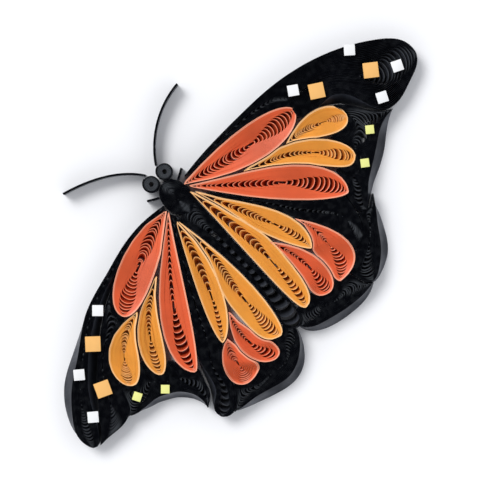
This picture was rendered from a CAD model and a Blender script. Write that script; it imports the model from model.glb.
import math

import bmesh
import bpy
import numpy as np
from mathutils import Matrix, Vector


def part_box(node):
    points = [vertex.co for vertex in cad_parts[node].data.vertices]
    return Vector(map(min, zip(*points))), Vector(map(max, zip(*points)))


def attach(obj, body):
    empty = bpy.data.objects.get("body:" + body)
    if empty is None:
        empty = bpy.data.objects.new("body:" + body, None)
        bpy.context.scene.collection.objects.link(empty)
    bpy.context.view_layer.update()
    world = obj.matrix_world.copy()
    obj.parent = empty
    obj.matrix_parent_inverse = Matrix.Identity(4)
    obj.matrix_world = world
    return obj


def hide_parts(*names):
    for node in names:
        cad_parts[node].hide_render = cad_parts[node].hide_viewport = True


# A butterfly of quilled paper. Narrow strips of coloured paper are rolled on edge, let loose,
# pinched into drops and glued side by side. Here every coil is rolled again as one long strip, turn
# by turn, inside the outline that its solid has.
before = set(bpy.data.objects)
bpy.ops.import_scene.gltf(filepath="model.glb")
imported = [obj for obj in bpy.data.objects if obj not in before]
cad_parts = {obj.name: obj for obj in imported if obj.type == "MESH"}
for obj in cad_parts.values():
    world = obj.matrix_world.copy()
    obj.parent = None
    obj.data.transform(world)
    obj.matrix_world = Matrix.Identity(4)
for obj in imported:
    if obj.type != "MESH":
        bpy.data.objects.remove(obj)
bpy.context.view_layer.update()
MM = 0.001

# The view is straight down on the butterfly, which lies on its back edges and heads to the upper
# left of the picture. The lamp stands beyond the head, so that the shadows fall behind.
view_centre = (2.4 * MM, -10.3 * MM)
view_turn = math.radians(-44)
view_width = 72 * MM
view_lens = 200
sensor = 36
top_of_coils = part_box("thorax")[1].z
view_height = top_of_coils + view_width / sensor * view_lens

bpy.ops.object.camera_add(location=(*view_centre, view_height), rotation=(0, 0, view_turn))
camera = bpy.context.object
camera.name = "view"
camera.data.lens = view_lens
camera.data.sensor_width = sensor
camera.data.clip_start = 1 * MM
bpy.context.scene.camera = camera
bpy.context.scene.view_settings.view_transform = "Standard"

lamp_slant = math.radians(-36)
lamp_aside = math.radians(4)
bpy.ops.object.light_add(type="SUN", rotation=(lamp_slant, 0, lamp_aside))
lamp = bpy.context.object
lamp.name = "soft_lamp"
lamp.data.energy = 1.75
lamp.data.angle = math.radians(28)


# The room is pale at its sides and dark overhead, as a studio is where the camera hangs, so that
# light comes in at a slant and leaves the deep openings between the turns dark.
room_side = (0.9, 0.92, 0.96, 1)
room_overhead = (0.14, 0.14, 0.15, 1)
room_stops = [(0.72, room_side), (0.94, room_overhead)]


class Socket:
    """One output of a shader's node, with sums on it written as Python expressions."""

    def __init__(self, output):
        self.output = output

    @classmethod
    def of(cls, tree, kind, settings, inputs, output=0):
        """An output of a new node, which gets its settings and then its sockets' values or links.
        The setting stops holds the position and the colour of each of a ramp's stops."""
        made = tree.nodes.new(kind)
        for key, value in settings.items():
            if key == "stops":
                for stop, (position, colour) in zip(made.color_ramp.elements, value):
                    stop.position = position
                    stop.color = colour
            else:
                setattr(made, key, value)
        for key, value in inputs.items():
            if isinstance(value, Socket):
                tree.links.new(value.output, made.inputs[key])
            else:
                made.inputs[key].default_value = value
        return cls(made.outputs[output])

    def math(self, operation, first, second):
        tree = self.output.id_data
        return Socket.of(tree, "ShaderNodeMath", {"operation": operation}, {0: first, 1: second})

    def __add__(self, other):
        return self.math("ADD", self, other)

    def __sub__(self, other):
        return self.math("SUBTRACT", self, other)

    def __rsub__(self, other):
        return self.math("SUBTRACT", other, self)

    def __mul__(self, other):
        return self.math("MULTIPLY", self, other)

    __radd__ = __add__
    __rmul__ = __mul__

    def clamped(self):
        return self.math("MINIMUM", self.math("MAXIMUM", self, 0.0), 1.0)


world = bpy.data.worlds.new("studio_room")
world.use_nodes = True
room = world.node_tree
direction = Socket.of(room, "ShaderNodeTexCoord", {}, {}, "Generated")
height = Socket.of(room, "ShaderNodeSeparateXYZ", {}, {0: direction}, "Z")
room_tone = Socket.of(room, "ShaderNodeValToRGB", {"stops": room_stops}, {"Fac": height}, "Color")
room.links.new(room_tone.output, room.nodes["Background"].inputs["Color"])
bpy.context.scene.world = world

floor_size = 900 * MM
bpy.ops.mesh.primitive_plane_add(size=floor_size, location=(0, 0, 0))
floor = bpy.context.object
floor.name = "floor"
floor.data.materials.append(bpy.data.materials.new("pale_floor"))
floor.data.materials[0].use_nodes = True
floor_shader = floor.data.materials[0].node_tree.nodes["Principled BSDF"]
floor_shader.inputs["Base Color"].default_value = (0.95, 0.95, 0.96, 1)
floor_shader.inputs["Roughness"].default_value = 0.9
floor_shader.inputs["Specular IOR Level"].default_value = 0.0


# Red orange coils. Each is a strip of quilling paper on edge, rolled into a loose coil, pinched at
# the wing's root and pushed in to a shallow dish. Its turns lie tight along the flanks, and stand
# apart as chevrons towards the pinch and as crescents towards the round end.
paper_thickness = 0.12 * MM
flank_pitch = 0.128 * MM
crease_angle = math.radians(35)
weld = 0.001 * MM

# How a solid's outline is read: its narrow openings are bridged, and its corners are rounded
widest_notch = 1.0 * MM
deepest_notch = 12 * MM
notch_depth_to_mouth = 2.2
notch_points = 40
outer_rounding = 0.2 * MM
inner_rounding = 1.2 * MM
layers = 10
flank_points = 240
shares = np.linspace(0, 1, flank_points)
swell_length = 0.16
least_reach = 0.01 * MM


def outline_of(node, upper):
    """The outer edge of a node's lower or upper side, anticlockwise, as an array of (x, y)."""
    mesh = bmesh.new()
    mesh.from_mesh(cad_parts[node].data)
    bmesh.ops.remove_doubles(mesh, verts=mesh.verts, dist=weld)
    mesh.normal_update()
    way = 1 if upper else -1
    level = max(v.co.z * way for v in mesh.verts)
    side = {f for f in mesh.faces if all(v.co.z * way > level - weld for v in f.verts)}
    rim = [e for e in mesh.edges if sum(f in side for f in e.link_faces) == 1]
    reach = {}
    for edge in rim:
        for vert in edge.verts:
            reach.setdefault(vert, []).append(edge)
    loops = []
    while reach:
        first = next(iter(reach))
        loop = [first]
        vert, edge = first, reach[first][0]
        while True:
            vert = edge.other_vert(vert)
            if vert == first:
                break
            loop.append(vert)
            edge = next(e for e in reach[vert] if e != edge)
        for vert in loop:
            reach.pop(vert)
        loops.append(np.array([v.co[:2] for v in loop]))
    mesh.free()
    after = [np.roll(p, -1, axis=0) for p in loops]
    areas = [np.sum(p[:, 0] * q[:, 1] - p[:, 1] * q[:, 0]) for p, q in zip(loops, after)]
    widest = int(np.argmax(np.abs(areas)))
    return without_notches(loops[widest] if areas[widest] > 0 else loops[widest][::-1])


def without_notches(points):
    """A closed line, anticlockwise, without the narrow openings that reach in from its edge."""
    count = len(points)
    kept = []
    n = 0
    while n < count:
        kept.append(points[n])
        after = n + 1
        run = 0
        turned = 0
        for m in range(n + 1, min(n + notch_points, count)):
            a, b = points[m - 1] - points[n], points[m] - points[n]
            run += np.linalg.norm(b - a)
            turned += a[0] * b[1] - a[1] * b[0]
            mouth = np.linalg.norm(b)
            if run > deepest_notch:
                break
            if mouth < widest_notch and run > notch_depth_to_mouth * mouth and turned < 0:
                after = m
        n = after
    return np.array(kept)


def evenly(points):
    """Points spaced evenly along a line of points."""
    run = np.concatenate([[0], np.cumsum(np.linalg.norm(np.diff(points, axis=0), axis=1))])
    at = np.linspace(0, run[-1], flank_points)
    return np.stack([np.interp(at, run, points[:, axis]) for axis in (0, 1)], axis=1)


def smoothed(points, reach):
    """A line of evenly spaced points, its corners rounded over a length and its ends kept."""
    spacing = np.mean(np.linalg.norm(np.diff(points, axis=0), axis=1))
    wide = int(np.clip(3 * reach / spacing, 1, len(points) // 3))
    weights = np.exp(-0.5 * (np.arange(-wide, wide + 1) * spacing / reach) ** 2)
    weights /= weights.sum()
    before = 2 * points[0] - points[wide:0:-1]
    after = 2 * points[-1] - points[-2 : -wide - 2 : -1]
    padded = np.vstack([before, points, after])
    rounded = [np.convolve(padded[:, axis], weights, mode="valid") for axis in (0, 1)]
    return np.stack(rounded, axis=1)


def flanks_of(node, upper, pinch, tip):
    """For each layer inwards, a coil's middle line from its pinch to its tip, and what leads from
    there to its left flank. The further in a layer lies, the rounder it is."""
    outline = outline_of(node, upper)
    around = np.roll(outline, -int(np.argmin(np.linalg.norm(outline - pinch, axis=1))), axis=0)
    if tip is None:
        end = int(np.argmax(np.linalg.norm(around - around[0], axis=1)))
    else:
        end = int(np.argmin(np.linalg.norm(around - tip, axis=1)))
    right = evenly(around[: end + 1])
    left = evenly(np.vstack([around[end:], around[:1]]))
    both = np.vstack([right, left[1:]])
    reaches = np.linspace(outer_rounding, inner_rounding, layers)
    rounds = [smoothed(both, reach) for reach in reaches]
    pairs = [(line[: flank_points - 2 : -1], line[:flank_points]) for line in rounds]
    return np.array([[(a + b) / 2, (a - b) / 2] for a, b in pairs])


def swell_out(flanks, side, share, size):
    """Lets the flank on one side swell out by a size in mm, most at a share of the length."""
    bell = size / 2 * MM * np.exp(-(((shares - share) / swell_length) ** 2))[None, :, None]
    reach = np.linalg.norm(flanks[:, 1], axis=2, keepdims=True)
    outward = flanks[:, 1] / np.maximum(reach, least_reach)
    flanks[:, 0] += outward * bell * side
    flanks[:, 1] += outward * bell


def read(values, share, level):
    """What a table of layers and points holds at shares of the length and at levels inwards."""
    x = np.clip(share, 0, 1) * (flank_points - 1)
    i = np.minimum(x.astype(int), flank_points - 2)
    j = np.minimum(level.astype(int), layers - 2)
    x, y = x - i, level - j
    if values.ndim == 3:
        x, y = x[:, None], y[:, None]
    low = values[j, i] * (1 - x) + values[j, i + 1] * x
    high = values[j + 1, i] * (1 - x) + values[j + 1, i + 1] * x
    return low * (1 - y) + high * y


def stand_strip(name, node, feet, tops, outwards, drop, slant, cut_edge):
    """A strip of paper that stands on edge and takes a node's place. feet and tops are its lower and
    its upper edge, and outwards leads out of the roll. drop is how far its upper edge lies below the
    coils' top, slant how much further its inner side does, and cut_edge how pale the edge is."""
    count = len(feet)
    bpy.ops.object.select_all(action="DESELECT")
    bpy.ops.mesh.primitive_grid_add(x_subdivisions=count - 1, y_subdivisions=1, size=1)
    strip = bpy.context.object
    strip.name = name
    places = np.zeros((2 * count, 3))
    places[:count, :2] = feet
    places[count:, :2] = tops
    places[count:, 2] = top_of_coils
    strip.data.vertices.foreach_set("co", places.ravel())
    strip.data.update()
    solidify = strip.modifiers.new("paper", "SOLIDIFY")
    solidify.thickness = paper_thickness
    solidify.offset = 0
    bpy.ops.object.modifier_apply(modifier="paper")

    found = np.zeros(len(strip.data.vertices) * 3)
    strip.data.vertices.foreach_get("co", found)
    found = found.reshape(2, 2, count, 3)
    first_outside = np.sum((found[0, 1, :, :2] - found[1, 1, :, :2]) * outwards) > 0
    outer, inner = (0, 1) if first_outside else (1, 0)
    found[:, 0, :, 2] = 0
    found[outer, 1, :, 2] = top_of_coils - drop
    found[inner, 1, :, 2] = top_of_coils - drop - slant
    strip.data.vertices.foreach_set("co", found.ravel())
    strip.data.update()
    edge = np.zeros((2, 2, count))
    edge[:, 1] = cut_edge
    attribute = strip.data.attributes.new("cut_edge", "FLOAT", "POINT")
    attribute.data.foreach_set("value", edge.ravel())
    bpy.ops.object.mode_set(mode="EDIT")
    bpy.ops.mesh.select_all(action="SELECT")
    bpy.ops.mesh.normals_make_consistent(inside=False)
    bpy.ops.object.mode_set(mode="OBJECT")
    bpy.ops.object.shade_smooth_by_angle(angle=crease_angle)
    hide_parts(node)
    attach(strip, "root")
    return strip


# Where the turns end: the outermost close together, and the others set apart as their room asks
marks_a_turn = 4
turns_at_pinch = 1.5
heart_length = 0.9 * MM
chain_fade = 4
most_stretch = 1.3
room_in_fold = 0.5 * paper_thickness
room_beside_fold = 0.4 * paper_thickness
unfolding_turns = 0.75

# How long the bends at a turn's two ends are: in mm, and as shares of its width and its length
sharpest_bend = 0.1
pinch_bend_growth = 0.45
pinch_bend_to_width = 0.9
pinch_bend_at = 0.05
pinch_pointedness = 1.5
tip_bend_growth = 0.35
tip_bend_to_width = 0.6
tip_bend_at = 0.02
longest_bend = 0.45
narrowest_turn = 0.02 * MM
most_widening = 1.5

# How uneven the turns are, over how many of them at the strip's two ends that and the lean ease
# off, and the share of its lean that the innermost turn keeps
easing_turns = 2
least_lean = 0.6
uneven_start = 0.1 * MM
uneven_stop = 0.12 * MM
uneven_sway = 0.12
uneven_lift = 0.07 * MM

# How much of the pale cut edge shows, and how far an edge slants to its inner side
paleness_gain = 2.2
faintest_edge = 0.5
rim_turns = 2.2
rim_paleness = 0.75
slant_to_dish = 0.85

# Points along a strip
bend_steps = 7
step_length = 0.5 * MM
fewest_steps = 24
most_steps = 70


def turn_ends(
    marks, narrowest, length, heart, chain, cone, widest, turns_at_tip, pitch, reach_heart
):
    """The shares of a coil's length at which its turns start and stop, at marks along its strip.

    narrowest is the least half width between the heart and each share, for each layer inwards. With
    reach_heart the turns are spread until they start near the heart. The rest is as in roll_coil."""
    turns = marks[-1]
    centre = int(heart * (flank_points - 1))

    def set_apart(room, tight):
        """How far in the marks lie: at most a third of the turns tight, and the others apart."""
        tight = min(tight, turns / 3)
        apart = min(widest * MM, (room - heart_length / 2 - tight * pitch) / (turns - tight))
        return (np.minimum(marks, tight) * pitch + np.maximum(marks - tight, 0) * apart) / length

    starts = set_apart(heart * length, turns_at_pinch) if not chain else marks * pitch / length
    stops = 1 - set_apart((1 - heart) * length, turns_at_tip)
    for n, mark in enumerate(marks):
        room = read(narrowest, shares, np.full(flank_points, mark / turns * (layers - 1)))
        room = room - cone * MM * np.abs(shares - heart) * mark / turns
        # The outermost turn folds into the narrow ends, and the next ones need room beside it
        unfolded = np.clip((mark - 1) / unfolding_turns, 0, 1)
        needed = room_in_fold + (mark * pitch + room_beside_fold) * unfolded
        opening = chain * MM * min(mark / chain_fade, (turns - mark) / chain_fade, 1)
        before = np.flatnonzero(room < needed + opening)
        before = before[(before < centre) & (shares[before] < heart - heart_length / 2 / length)]
        narrow = np.flatnonzero(room < needed)
        after = narrow[narrow > centre]
        if len(before):
            starts[n] = max(starts[n], shares[before[-1]])
        if len(after):
            stops[n] = min(stops[n], shares[after[0]])
        if n:
            step = (mark - marks[n - 1]) * pitch / length
            starts[n] = max(starts[n], starts[n - 1] + step)
            stops[n] = min(stops[n], stops[n - 1] - step)
    if reach_heart:
        starts *= np.clip((stops[-1] - heart_length / length) / starts[-1], 1, most_stretch)
    return starts, stops


def roll_coil(
    name, node, pinch, turns, heart, heart_width, dish, tip=None, bare=0.5, chain=0, cone=0.8,
    widest=1.0, turns_at_tip=4.5, lean=0.65, swell=None, pitch=flank_pitch, seed=0,
):
    """A strip rolled on edge inside a node's outline. Lengths are in mm, apart from pitch.

    pinch and tip are the outline's ends, and without a tip it is the point furthest from the pinch.
    heart is the share of the length at which the innermost turn lies, heart_width is that turn's
    half width, and dish how deep it lies. bare is how much of the pale cut edge shows where the
    turns stand apart. chain, if given, is the half width of the openings on the side of the pinch.
    cone is how much sooner than the room allows the innermost turns end, and widest how far apart
    they stand at most. turns_at_tip lie close at the round end. lean is how much nearer to the heart
    the feet of the inner turns lie than their upper edges. swell is a flank's side, the share where
    it swells out, and how far. pitch is the distance between turns along the flanks."""
    rng = np.random.default_rng(seed)
    pinch = np.array(pinch) * MM
    tip = None if tip is None else np.array(tip) * MM
    heart_width = heart_width * MM
    lower = flanks_of(node, False, pinch, tip)
    upper = flanks_of(node, True, pinch, tip)
    if swell:
        swell_out(lower, *swell)
        swell_out(upper, *swell)
    half = np.linalg.norm(lower[:, 1], axis=2)
    length = np.sum(np.linalg.norm(np.diff(lower[0, 0], axis=0), axis=1))
    centre = int(heart * (flank_points - 1))
    to_pinch = np.minimum.accumulate(half[:, centre::-1], axis=1)[:, ::-1]
    to_tip = np.minimum.accumulate(half[:, centre:], axis=1)[:, 1:]
    narrowest = np.hstack([to_pinch, to_tip])
    turns = min(turns, (half[-1, centre] - heart_width) / pitch)
    passing = np.clip((narrowest[0] - paper_thickness) / pitch, 1, turns)
    spread = np.maximum((half[0] - heart_width) / passing, pitch)

    # A black coil shows all of the paler cut edge where its turns stand apart, and has no pale rim
    coloured = bare < 1
    marks = np.linspace(0, turns, int(marks_a_turn * turns) + 1)
    starts, stops = turn_ends(
        marks, narrowest, length, heart, chain, cone, widest, turns_at_tip, pitch, coloured
    )

    # Each turn has two legs: out along the left flank to the tip, and back along the right one
    steps = 2 * bend_steps + int(np.clip(length / step_length, fewest_steps, most_steps))
    count = int(2 * turns * steps) + 1
    turn = np.linspace(0, turns, count)
    inwards = turn / turns
    level = inwards * (layers - 1)
    leg = turn * 2
    towards_tip = leg.astype(int) % 2 == 0
    side = np.where(towards_tip, 1.0, -1.0)
    place = np.where(towards_tip, leg % 1, 1 - leg % 1)
    whole = np.arange(int(turns) + 2)
    from_outside = np.clip((turn - 1) / easing_turns, 0, 1)
    from_inside = np.clip((turns - turn) / easing_turns, 0, 1)

    def unevenness(size):
        values = np.interp(turn, whole, rng.normal(0, size, len(whole)))
        return values * (from_outside * from_inside)

    inset = paper_thickness / 2
    start = np.interp(turn, marks, starts) + (unevenness(uneven_start) + inset) / length
    stop = np.interp(turn, marks, stops) + (unevenness(uneven_stop) - inset) / length
    sway = unevenness(uneven_sway)
    lift = np.abs(unevenness(uneven_lift))
    shown = np.interp(turn, whole, rng.uniform(faintest_edge, 1, len(whole)))

    def width_at(share):
        inside = inset + turn * np.interp(share, shares, spread)
        return np.maximum(read(half, share, level) - inside, narrowest_turn)

    def bend(width, growth, most):
        return np.minimum(width, np.minimum((sharpest_bend + growth * turn) * MM, most))

    def course(shift):
        """The share at which each point lies, how far the turn has opened there, and its half
        width. The turns' ends are moved towards the heart by shift."""
        first, last = start + shift / length, stop - shift / length
        most = longest_bend * (last - first) * length
        width_in, width_out = width_at(first + pinch_bend_at), width_at(last - tip_bend_at)
        bend_in = bend(pinch_bend_to_width * width_in, pinch_bend_growth, most)
        bend_out = bend(tip_bend_to_width * width_out, tip_bend_growth, most)
        bend_share = bend_steps / steps
        from_pinch = np.minimum(place / bend_share, 1) * math.pi / 2
        from_tip = np.minimum((1 - place) / bend_share, 1) * math.pi / 2
        straight = np.clip((place - bend_share) / (1 - 2 * bend_share), 0, 1)
        share = first + bend_in * (1 - np.cos(from_pinch)) / length
        share += straight * (last - first - (bend_in + bend_out) / length)
        share += bend_out * np.cos(from_tip) / length
        opened = np.sqrt(1 - np.cos(from_pinch) ** pinch_pointedness) * np.sin(from_tip)
        return share, opened, width_at(share)

    def laid(flanks, shift):
        """The strip's points between the flanks, and how far the turn has opened at each."""
        share, opened, width = course(shift)
        reach = read(flanks[:, 1], share, level)
        size = np.maximum(np.linalg.norm(reach, axis=1), weld)
        squeeze = np.minimum(size / np.maximum(read(half, share, level), weld), most_widening)
        across = (side * opened + sway * (1 - opened)) * width * squeeze
        return read(flanks[:, 0], share, level) + reach * (across / size)[:, None], opened

    # The outermost turns stand upright, and the innermost lean a little less than the others
    leaning = lean * MM * from_outside * np.maximum(from_inside, least_lean)
    feet = laid(lower, leaning)[0]
    tops, opened = laid(upper, np.zeros(count))
    outwards = side[:, None] * read(upper[:, 1], course(0)[0], level)
    loose = np.clip((1 - opened) * paleness_gain, 0, 1) * bare * shown
    loose *= np.minimum(turn / easing_turns, 1)
    rim = np.clip(rim_turns - turn, 0, 1) * (rim_paleness if coloured else 0)
    drop = dish * MM * inwards + lift
    slant = dish * MM / turns * slant_to_dish
    return stand_strip(name, node, feet, tops, outwards, drop, slant, np.maximum(loose, rim))


# How fine the paper's fibres, clouds and worn spots are, and how high and sharp the fibres stand
fibre_scale = 9000.0
cloud_scale = 260.0
spot_scale = 1100.0
fibre_height = 0.02 * MM
fibre_strength = 0.25

# How dark the clouds on its edges and the blotches on its faces are, and how dull its gloss is
cloud_shade = 0.86
blotch_shade = 0.6
coat_roughness = 0.35


def mixed(tree, factor, first, second):
    """Two colours mixed by a factor. The numbers are those of the Mix node's colour sockets."""
    sockets = {0: factor, 6: first, 7: second}
    return Socket.of(tree, "ShaderNodeMix", {"data_type": "RGBA"}, sockets, 2)


def paper(name, colour, face_colour, cut_colour, roughness, sheen, gloss=0.0, wear=0.0):
    """Coloured quilling paper with faint fibres. colour is that of its edges where they lie close,
    cut_colour where a single edge shows, and face_colour that of its faces. sheen is the shine of
    its faces and gloss that of its edges. wear is how much of the cut colour shows in spots."""
    material = bpy.data.materials.new(name)
    material.use_nodes = True
    tree = material.node_tree
    shader = tree.nodes["Principled BSDF"]
    place = Socket.of(tree, "ShaderNodeTexCoord", {}, {}, "Object")

    def noise(scale, detail):
        sockets = {"Vector": place, "Scale": scale, "Detail": detail}
        return Socket.of(tree, "ShaderNodeTexNoise", {}, sockets)

    fibres = noise(fibre_scale, 3.0)
    cloud = noise(cloud_scale, 2.0)
    spots = noise(spot_scale, 4.0)
    edge = Socket.of(tree, "ShaderNodeAttribute", {"attribute_name": "cut_edge"}, {}, "Fac")
    normal = Socket.of(tree, "ShaderNodeNewGeometry", {}, {}, "True Normal")
    upward = Socket.of(tree, "ShaderNodeSeparateXYZ", {}, {0: normal}, "Z")
    # 1 on a strip's cut edges, which face up, and 0 on its faces, which stand upright
    facing_up = ((upward - 0.3) * 4.0).clamped()
    dark = tuple(c * cloud_shade for c in colour)
    blotch = tuple(c * blotch_shade for c in face_colour)
    patchy = (cloud * 3.0 - 1.0).clamped()
    body = mixed(tree, (cloud * 1.6 - 0.3).clamped(), (*dark, 1), (*colour, 1))
    face = mixed(tree, patchy, (*blotch, 1), (*face_colour, 1))
    worn = (spots * 5.0 - 2.3).clamped() * wear
    edges = mixed(tree, (edge + worn).clamped(), body, (*cut_colour, 1))
    tone = mixed(tree, facing_up, face, edges)
    tree.links.new(tone.output, shader.inputs["Base Color"])
    coat = (1 - facing_up) * (patchy * 0.6 + 0.4) * sheen + facing_up * gloss
    tree.links.new(coat.output, shader.inputs["Coat Weight"])
    shader.inputs["Coat Roughness"].default_value = coat_roughness
    shader.inputs["Specular IOR Level"].default_value = 0.0
    shader.inputs["Roughness"].default_value = roughness
    relief = {"Strength": fibre_strength, "Distance": fibre_height, "Height": fibres}
    bump = Socket.of(tree, "ShaderNodeBump", {}, relief, "Normal")
    tree.links.new(bump.output, shader.inputs["Normal"])
    return material


red_orange = paper(
    "red_orange_paper", (0.8, 0.12, 0.035), (0.75, 0.1, 0.03), (0.93, 0.42, 0.27), roughness=0.6,
    sheen=0.3, gloss=0.5,
)
# For each coil its pinch in mm, its turns, and the share of its length at which its heart lies
red_orange_coils = {
    "right_forewing_upper_orange": ((2.2, 1.6), 17, 0.56),
    "right_forewing_lower_orange": ((2.5, 0.8), 17, 0.56),
    "right_hindwing_middle_orange": ((5.4, -13.7), 12, 0.55),
    "right_hindwing_outer_orange": ((10.4, -13.6), 15, 0.5),
    "left_forewing_upper_orange": ((-2.5, 0.6), 17, 0.54),
    "left_forewing_lower_orange": ((-2.5, 0.2), 18, 0.56),
    "left_hindwing_middle_orange": ((-6.3, -16.9), 11, 0.5),
    "left_hindwing_outer_orange": ((-9.4, -19.4), 12, 0.5),
}
for seed, (name, (pinch, turns, heart)) in enumerate(red_orange_coils.items()):
    strip = roll_coil(
        f"{name}_strip", f"{name}_coil", pinch, turns, heart, heart_width=0.25, dish=0.95, seed=seed,
    )
    strip.data.materials.append(red_orange)


# Amber coils. They are rolled as the red orange ones are, of amber strip, a little tighter along the
# flanks, so that only a thin chain of openings shows between the pinch and the crescents.
amber = paper(
    "amber_paper", (0.86, 0.34, 0.05), (0.86, 0.33, 0.06), (0.95, 0.6, 0.3), roughness=0.6,
    sheen=0.3, gloss=0.2,
)
amber_turns = 18
# For each coil its pinch, its heart, and the side, share and size of the swell in its flank
amber_coils = {
    "right_forewing_middle_amber": ((9.1, -3.3), 0.62, None),
    "right_forewing_outer_amber": ((16.9, -5.0), 0.6, None),
    "right_hindwing_lower_amber": ((2.1, 0.1), 0.66, (1, 0.5, 0.5)),
    "right_hindwing_upper_amber": ((2.6, -0.4), 0.64, None),
    "left_forewing_middle_amber": ((-10.4, -5.4), 0.6, None),
    "left_forewing_outer_amber": ((-16.2, -7.4), 0.58, None),
    "left_hindwing_upper_amber": ((-2.6, -1.7), 0.64, None),
    "left_hindwing_lower_amber": ((-2.4, -1.9), 0.66, (-1, 0.55, 0.6)),
}
for seed, (name, (pinch, heart, swell)) in enumerate(amber_coils.items(), start=20):
    strip = roll_coil(
        f"{name}_strip", f"{name}_coil", pinch, amber_turns, heart, heart_width=0.2, dish=1.0,
        chain=0.12, lean=0.85, swell=swell, seed=seed,
    )
    strip.data.materials.append(amber)


# Black coils. They were glued last and pressed round the coloured ones, so they fill what is left
# of the wings. Their free walls lean out towards the foot. Only single turns catch the light.
black = paper(
    "black_paper", (0.0025, 0.0028, 0.004), (0.05, 0.055, 0.07), (0.05, 0.054, 0.06), roughness=0.6,
    sheen=0.75, wear=0.11,
)
black_turns = 20
# For each coil its pinch and its round end, if that isn't its furthest point, and its heart
black_coils = {
    "right_forewing_leading_coil": ((2.9, 2.4), None, 0.72),
    "right_forewing_margin_coil": ((32.6, -12.1), (19.4, -20.5), 0.55),
    "coil_between_right_wings": ((1.8, -0.2), (16.0, -22.7), 0.8),
    "right_hindwing_upper_margin_coil": ((21.7, -19.1), (12.7, -28.9), 0.5),
    "right_hindwing_lower_margin_coil": ((12.8, -28.4), (-0.3, -25.4), 0.5),
    "left_forewing_leading_coil": ((-1.7, 1.3), None, 0.8),
    "left_forewing_tip_coil": ((-10.5, -1.3), (-30.9, -18.0), 0.7),
    "left_forewing_margin_coil": ((-28.6, -17.2), (-18.7, -25.2), 0.5),
    "coil_between_left_wings": ((-1.9, -1.6), (-17.9, -27.5), 0.7),
    "left_hindwing_margin_coil": ((-17.2, -27.8), (-0.5, -24.7), 0.5),
    "thorax": ((0.0, 4.0), (0.0, -2.1), 0.5),
}
for seed, (name, (pinch, tip, heart)) in enumerate(black_coils.items(), start=40):
    piece = name.replace("_coil", "_strip") if name.endswith("_coil") else f"{name}_strip"
    strip = roll_coil(
        piece, name, pinch, black_turns, heart, heart_width=0.12, dish=0.3, tip=tip, bare=1.0,
        seed=seed,
    )
    strip.data.materials.append(black)


# Abdomen. It is the longest black coil of the body, and the most loosely rolled: its turns end one
# after the other all along it, with the round side to the tail.
strip = roll_coil(
    "abdomen_strip", "abdomen", (0.0, -2.1), black_turns, heart=0.25, heart_width=0.45, dish=0.4,
    tip=(-0.6, -25.7), bare=1.0, cone=0, widest=1.4, turns_at_tip=1.5, lean=1.0, pitch=0.08 * MM,
    seed=55,
)
strip.data.materials.append(black)


# Eyes. Each is a short strip of the black paper, rolled tightly on a round tool that has left its
# hole in the middle. The roll dips a little towards it, and its cut edge shows as a grey ring.
eye_dip = 0.12 * MM
eye_hole = 0.36 * MM
eye_first_angle = math.radians(100)
eye_points_a_turn = 32
ring_from_turn = 1.5
faintest_ring = 0.6
for seed, name in enumerate(("right_eye", "left_eye"), start=60):
    low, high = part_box(name)
    middle = np.array([(low.x + high.x) / 2, (low.y + high.y) / 2])
    radius = (high.x - low.x) / 2 - paper_thickness / 2
    turns = (radius - eye_hole) / flank_pitch
    turn = np.linspace(0, turns, int(turns * eye_points_a_turn) + 1)
    angle = turn * 2 * math.pi + eye_first_angle
    rays = np.stack([np.cos(angle), np.sin(angle)], axis=1)
    course = middle + rays * (radius - turn * flank_pitch)[:, None]
    shown = np.random.default_rng(seed).uniform(faintest_ring, 1, len(turn))
    ring = np.clip(turn - ring_from_turn, 0, 1) * shown
    strip = stand_strip(
        f"{name}_strip", name, course, course, rays, eye_dip * turn / turns, eye_dip / turns, ring
    )
    strip.data.materials.append(black)


# Feelers and legs. They are short strips of the black paper that stand on edge, as their solids
# do: the feelers curled, the legs straight, and both glued on by one end.
for name in ("right_feeler", "left_feeler", "right_leg", "left_leg"):
    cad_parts[name].data.materials[0] = black


# Squares of flat paper, cut by hand from white, light orange and yellow sheets and glued flat on
# the black coils. Their corners are a little worn.
square_wear = 0.05 * MM
white = (0.9, 0.9, 0.9)
light_orange = (0.9, 0.5, 0.17)
yellow = (0.85, 0.85, 0.3)
square_papers = {
    "white": paper("white_paper", white, white, white, roughness=0.7, sheen=0.0),
    "orange": paper(
        "light_orange_paper", light_orange, (0.8, 0.42, 0.14), light_orange, roughness=0.7, sheen=0.0
    ),
    "yellow": paper("yellow_paper", yellow, (0.7, 0.7, 0.25), yellow, roughness=0.7, sheen=0.0),
}
for name in [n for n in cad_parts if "_square_" in n]:
    low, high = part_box(name)
    corners = [v.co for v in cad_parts[name].data.vertices]
    rightmost = max(corners, key=lambda corner: corner.x)
    furthest = max(corners, key=lambda corner: corner.y)
    edge = furthest - rightmost
    width = math.hypot(edge.x, edge.y)
    bpy.ops.object.select_all(action="DESELECT")
    bpy.ops.mesh.primitive_cube_add(
        size=1, location=(low + high) / 2, rotation=(0, 0, math.atan2(edge.y, edge.x)),
        scale=(width, width, high.z - low.z),
    )
    square = bpy.context.object
    square.name = f"{name}_paper"
    bpy.ops.object.transform_apply(location=True, rotation=True, scale=True)
    bevel = square.modifiers.new("wear", "BEVEL")
    bevel.width = square_wear
    bevel.segments = 2
    bpy.ops.object.modifier_apply(modifier="wear")
    bpy.ops.object.shade_smooth_by_angle(angle=crease_angle)
    colour = name.split("_")[1]
    square.data.materials.append(square_papers[colour])
    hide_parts(name)
    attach(square, "root")
